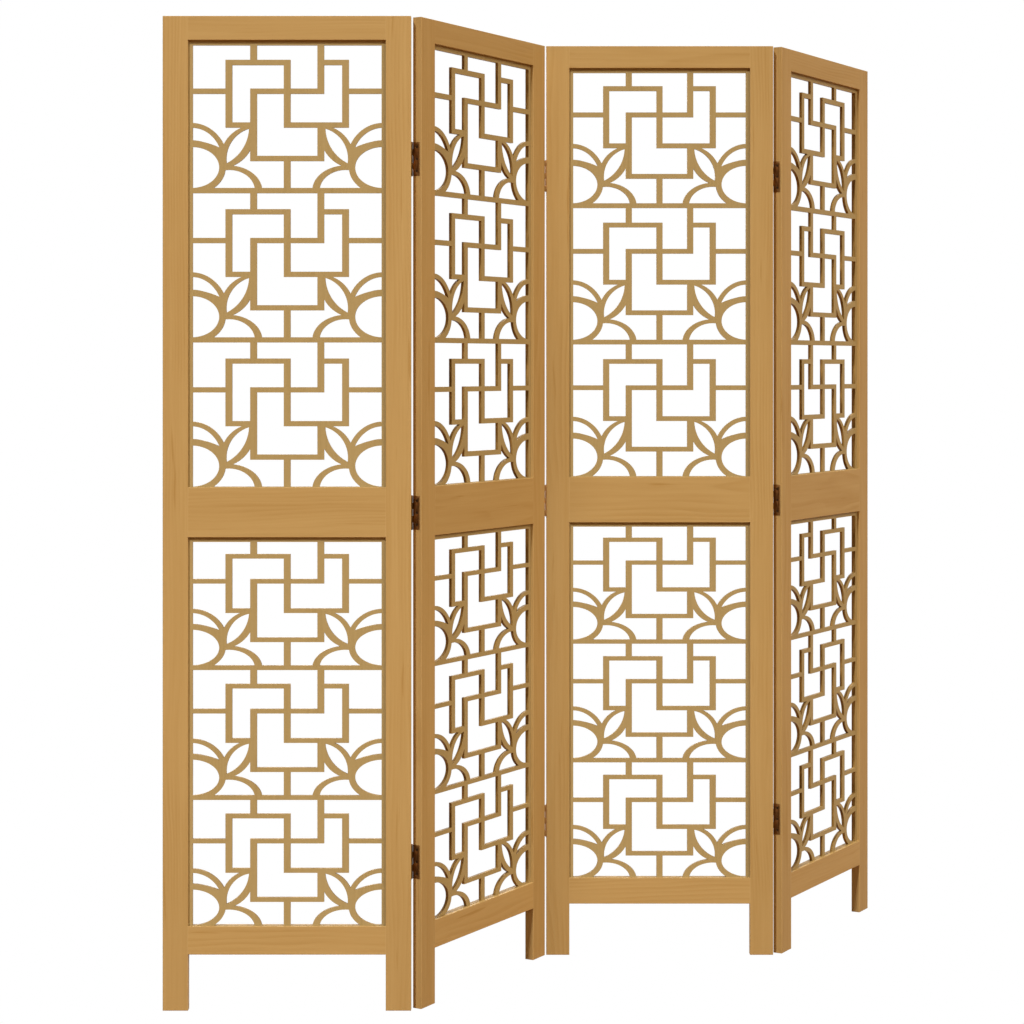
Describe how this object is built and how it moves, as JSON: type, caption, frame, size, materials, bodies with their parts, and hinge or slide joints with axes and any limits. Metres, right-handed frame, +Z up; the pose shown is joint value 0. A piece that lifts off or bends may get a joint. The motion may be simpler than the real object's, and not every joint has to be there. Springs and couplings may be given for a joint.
{
  "type": "folding screen",
  "caption": "Folding room divider of tall wooden panels with open fretwork lattice, joined edge to edge by butt hinges so that it stands in a zig-zag and folds flat.",
  "frame": {"origin": "middle of the floor area that the screen covers as it stands, on the floor", "axes": "+Z up; +Y from the front of the screen to its back; +X along the screen, from the first panel on the left to the last on the right"},
  "size_m": [1.2806, 0.7376, 1.65],
  "materials": {
    "frame_wood": "light brown stain with a satin clear coat over straight grained softwood",
    "lattice_wood": "light brown stain on thin fretwork board",
    "dowel_wood": "plain beech, glued in",
    "hinge_bronze": "antique bronze, satin",
    "hinge_screw": "antique bronze, darker than the leaves",
    "hinge_pin": "antique bronze, worn brighter at its ends"
  },
  "bodies": {
    "panel_1": {"panel_1_left_stile": "frame_wood", "panel_1_right_stile": "frame_wood", "panel_1_top_rail": "frame_wood", "panel_1_middle_rail": "frame_wood", "panel_1_bottom_rail": "frame_wood", "panel_1_upper_lattice": "lattice_wood", "panel_1_lower_lattice": "lattice_wood", "panel_1_dowels": "dowel_wood", "fold_1_2_top_left_leaf": "hinge_bronze", "fold_1_2_middle_left_leaf": "hinge_bronze", "fold_1_2_bottom_left_leaf": "hinge_bronze", "fold_1_2_left_screws": "hinge_screw", "fold_1_2_pins": "hinge_pin"},
    "panel_2": {"panel_2_left_stile": "frame_wood", "panel_2_right_stile": "frame_wood", "panel_2_top_rail": "frame_wood", "panel_2_middle_rail": "frame_wood", "panel_2_bottom_rail": "frame_wood", "panel_2_upper_lattice": "lattice_wood", "panel_2_lower_lattice": "lattice_wood", "panel_2_dowels": "dowel_wood", "fold_1_2_top_right_leaf": "hinge_bronze", "fold_1_2_middle_right_leaf": "hinge_bronze", "fold_1_2_bottom_right_leaf": "hinge_bronze", "fold_1_2_right_screws": "hinge_screw", "fold_2_3_top_left_leaf": "hinge_bronze", "fold_2_3_middle_left_leaf": "hinge_bronze", "fold_2_3_bottom_left_leaf": "hinge_bronze", "fold_2_3_left_screws": "hinge_screw", "fold_2_3_pins": "hinge_pin"},
    "panel_3": {"panel_3_left_stile": "frame_wood", "panel_3_right_stile": "frame_wood", "panel_3_top_rail": "frame_wood", "panel_3_middle_rail": "frame_wood", "panel_3_bottom_rail": "frame_wood", "panel_3_upper_lattice": "lattice_wood", "panel_3_lower_lattice": "lattice_wood", "panel_3_dowels": "dowel_wood", "fold_2_3_top_right_leaf": "hinge_bronze", "fold_2_3_middle_right_leaf": "hinge_bronze", "fold_2_3_bottom_right_leaf": "hinge_bronze", "fold_2_3_right_screws": "hinge_screw", "fold_3_4_top_left_leaf": "hinge_bronze", "fold_3_4_middle_left_leaf": "hinge_bronze", "fold_3_4_bottom_left_leaf": "hinge_bronze", "fold_3_4_left_screws": "hinge_screw", "fold_3_4_pins": "hinge_pin"},
    "panel_4": {"panel_4_left_stile": "frame_wood", "panel_4_right_stile": "frame_wood", "panel_4_top_rail": "frame_wood", "panel_4_middle_rail": "frame_wood", "panel_4_bottom_rail": "frame_wood", "panel_4_upper_lattice": "lattice_wood", "panel_4_lower_lattice": "lattice_wood", "panel_4_dowels": "dowel_wood", "fold_3_4_top_right_leaf": "hinge_bronze", "fold_3_4_middle_right_leaf": "hinge_bronze", "fold_3_4_bottom_right_leaf": "hinge_bronze", "fold_3_4_right_screws": "hinge_screw"}
  },
  "joints": [
    {"name": "fold_1_2", "type": "hinge", "parent": "panel_1", "child": "panel_2", "pos_m": [-0.2275, -0.35046, 0], "axis": [0, 0, 1], "range_deg": [-59.3, 120.7]},
    {"name": "fold_2_3", "type": "hinge", "parent": "panel_2", "child": "panel_3", "pos_m": [0.00051, -0.00483, 0], "axis": [0, 0, 1], "range_deg": [-120.7, 59.3]},
    {"name": "fold_3_4", "type": "hinge", "parent": "panel_3", "child": "panel_4", "pos_m": [0.41411, 0.01477, 0], "axis": [0, 0, 1], "range_deg": [-59.3, 120.7]}
  ]
}
